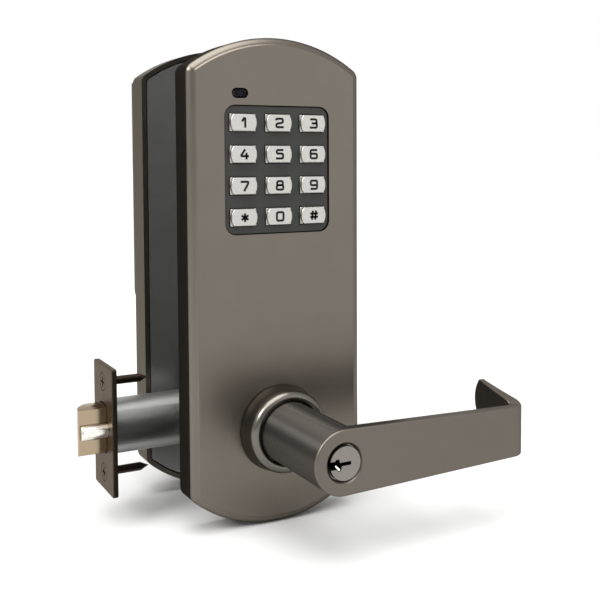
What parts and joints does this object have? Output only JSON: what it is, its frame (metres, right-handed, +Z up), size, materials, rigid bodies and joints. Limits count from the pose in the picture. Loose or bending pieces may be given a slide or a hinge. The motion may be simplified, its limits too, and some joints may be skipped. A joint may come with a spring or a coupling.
{
  "type": "keypad smart lock",
  "caption": "Keypad lever lock for a door: keypad trim, tubular spring latch and battery trim, with lever handles.",
  "frame": {"origin": "on the lever axis, where it crosses the door's outside face", "axes": "+Z up along the escutcheon, +Y from outside through the door to the inside, +X from the latch edge toward the lever's free end"},
  "size_m": [0.1769, 0.1928, 0.2173],
  "materials": {
    "satin_bronze": "satin brushed dark bronze plate with a clear lacquer",
    "key_metal": "fine-grained bright satin die casting",
    "black_plastic": "dark grey-green moulded plastic with a light texture",
    "black_rubber": "matt black silicone rubber",
    "circuit_board": "green solder resist",
    "smoked_lens": "smoked clear acrylic",
    "red_lamp": "red diffused lens",
    "blue_lamp": "blue diffused lens",
    "zinc_steel": "zinc-plated steel, slightly dull",
    "spring_steel": "drawn spring wire",
    "satin_nickel": "satin nickel plate",
    "bolt_brass": "machined brass, lightly polished",
    "cell_sleeve": "plain dark blue shrink sleeve over a steel can",
    "cable_sheath": "grey ribbon cable sheath"
  },
  "bodies": {
    "trim": {"outside_escutcheon": "satin_bronze", "outside_collar": "satin_bronze", "inside_housing": "satin_bronze", "inside_collar": "satin_bronze", "keypad_bezel": "black_plastic", "battery_tray": "black_plastic", "keypad_membrane": "black_rubber", "outside_gasket": "black_rubber", "keypad_board": "circuit_board", "control_board": "circuit_board", "lamp_lens": "smoked_lens", "red_lamp": "red_lamp", "blue_lamp": "blue_lamp", "outside_mounting_plate": "zinc_steel", "inside_mounting_plate": "zinc_steel", "clutch_motor": "zinc_steel", "latch_case": "zinc_steel", "through_bolt_upper": "zinc_steel", "through_bolt_lower": "zinc_steel", "lever_return_spring": "spring_steel", "latch_spring": "spring_steel", "housing_screw": "satin_nickel", "latch_faceplate": "satin_bronze", "latch_screw_upper": "satin_bronze", "latch_screw_lower": "satin_bronze", "battery_1": "cell_sleeve", "battery_2": "cell_sleeve", "battery_3": "cell_sleeve", "battery_4": "cell_sleeve", "ribbon_cable": "cable_sheath"},
    "outside_lever_group": {"outside_lever": "satin_bronze", "cylinder_shell": "zinc_steel", "outside_drive_sleeve": "zinc_steel", "outside_circlip": "zinc_steel"},
    "drive_train": {"drive_hub": "zinc_steel", "spindle": "zinc_steel", "latch_cam": "zinc_steel", "inside_drive_sleeve": "zinc_steel", "inside_circlip": "zinc_steel", "inside_lever": "satin_bronze"},
    "key_plug": {"cylinder_plug": "satin_nickel", "cylinder_tailpiece": "bolt_brass"},
    "clutch_pin_body": {"clutch_pin": "zinc_steel"},
    "clutch_slider_body": {"clutch_slider": "zinc_steel"},
    "clutch_screw_body": {"clutch_screw": "zinc_steel"},
    "latch_bolt_body": {"latch_bolt": "bolt_brass"},
    "deadlatch_body": {"deadlatch_plunger": "satin_nickel"},
    "battery_cover_body": {"battery_cover": "satin_bronze"},
    "key_1_body": {"key_1": "key_metal"},
    "key_2_body": {"key_2": "key_metal"},
    "key_3_body": {"key_3": "key_metal"},
    "key_4_body": {"key_4": "key_metal"},
    "key_5_body": {"key_5": "key_metal"},
    "key_6_body": {"key_6": "key_metal"},
    "key_7_body": {"key_7": "key_metal"},
    "key_8_body": {"key_8": "key_metal"},
    "key_9_body": {"key_9": "key_metal"},
    "key_star_body": {"key_star": "key_metal"},
    "key_0_body": {"key_0": "key_metal"},
    "key_hash_body": {"key_hash": "key_metal"}
  },
  "joints": [
    {"name": "outside_lever_turn", "type": "hinge", "parent": "trim", "child": "outside_lever_group", "pos_m": [0, 0, 0], "axis": [0, 1, 0], "range_deg": [0, 55], "stiffness_Nm_per_rad": 0.6, "springref_deg": -45.84, "deforming": ["lever_return_spring"]},
    {"name": "inside_lever_turn", "type": "hinge", "parent": "trim", "child": "drive_train", "pos_m": [0, 0.04445, 0], "axis": [0, 1, 0], "range_deg": [0, 55]},
    {"name": "latch_bolt_slide", "type": "slide", "parent": "trim", "child": "latch_bolt_body", "axis": [1, 0, 0], "range_m": [0, 0.0127], "deforming": ["latch_spring"]},
    {"name": "deadlatch_slide", "type": "slide", "parent": "trim", "child": "deadlatch_body", "axis": [1, 0, 0], "range_m": [0, 0.0115], "stiffness_N_per_m": 120, "springref_m": -0.01},
    {"name": "key_plug_turn", "type": "hinge", "parent": "outside_lever_group", "child": "key_plug", "pos_m": [0, -0.06, 0], "axis": [0, 1, 0], "range_deg": [0, 90]},
    {"name": "clutch_slide", "type": "slide", "parent": "trim", "child": "clutch_slider_body", "axis": [0, 0, 1], "range_m": [0, 0.0025]},
    {"name": "clutch_screw_turn", "type": "hinge", "parent": "trim", "child": "clutch_screw_body", "pos_m": [0, -0.0088, 0.025], "axis": [0, 0, 1], "range_deg": [0, 720]},
    {"name": "clutch_pin_slide", "type": "slide", "parent": "outside_lever_group", "child": "clutch_pin_body", "axis": [0, 0, 1], "range_m": [0, 0.0025]},
    {"name": "battery_cover_slide", "type": "slide", "parent": "trim", "child": "battery_cover_body", "axis": [0, 0, 1], "range_m": [0, 0.012]},
    {"name": "key_1_press", "type": "slide", "parent": "trim", "child": "key_1_body", "axis": [0, 1, 0], "range_m": [0, 0.0011], "stiffness_N_per_m": 800, "springref_m": -0.0006},
    {"name": "key_2_press", "type": "slide", "parent": "trim", "child": "key_2_body", "axis": [0, 1, 0], "range_m": [0, 0.0011], "stiffness_N_per_m": 800, "springref_m": -0.0006},
    {"name": "key_3_press", "type": "slide", "parent": "trim", "child": "key_3_body", "axis": [0, 1, 0], "range_m": [0, 0.0011], "stiffness_N_per_m": 800, "springref_m": -0.0006},
    {"name": "key_4_press", "type": "slide", "parent": "trim", "child": "key_4_body", "axis": [0, 1, 0], "range_m": [0, 0.0011], "stiffness_N_per_m": 800, "springref_m": -0.0006},
    {"name": "key_5_press", "type": "slide", "parent": "trim", "child": "key_5_body", "axis": [0, 1, 0], "range_m": [0, 0.0011], "stiffness_N_per_m": 800, "springref_m": -0.0006},
    {"name": "key_6_press", "type": "slide", "parent": "trim", "child": "key_6_body", "axis": [0, 1, 0], "range_m": [0, 0.0011], "stiffness_N_per_m": 800, "springref_m": -0.0006},
    {"name": "key_7_press", "type": "slide", "parent": "trim", "child": "key_7_body", "axis": [0, 1, 0], "range_m": [0, 0.0011], "stiffness_N_per_m": 800, "springref_m": -0.0006},
    {"name": "key_8_press", "type": "slide", "parent": "trim", "child": "key_8_body", "axis": [0, 1, 0], "range_m": [0, 0.0011], "stiffness_N_per_m": 800, "springref_m": -0.0006},
    {"name": "key_9_press", "type": "slide", "parent": "trim", "child": "key_9_body", "axis": [0, 1, 0], "range_m": [0, 0.0011], "stiffness_N_per_m": 800, "springref_m": -0.0006},
    {"name": "key_star_press", "type": "slide", "parent": "trim", "child": "key_star_body", "axis": [0, 1, 0], "range_m": [0, 0.0011], "stiffness_N_per_m": 800, "springref_m": -0.0006},
    {"name": "key_0_press", "type": "slide", "parent": "trim", "child": "key_0_body", "axis": [0, 1, 0], "range_m": [0, 0.0011], "stiffness_N_per_m": 800, "springref_m": -0.0006},
    {"name": "key_hash_press", "type": "slide", "parent": "trim", "child": "key_hash_body", "axis": [0, 1, 0], "range_m": [0, 0.0011], "stiffness_N_per_m": 800, "springref_m": -0.0006}
  ],
  "couplings": [
    {"joint": "inside_lever_turn", "follows": "outside_lever_turn", "ratio": 1},
    {"joint": "latch_bolt_slide", "follows": "outside_lever_turn", "m_per_rad": 0.01323},
    {"joint": "clutch_screw_turn", "follows": "clutch_slide", "rad_per_m": 5026.5},
    {"joint": "clutch_pin_slide", "follows": "clutch_slide", "ratio": 1}
  ]
}
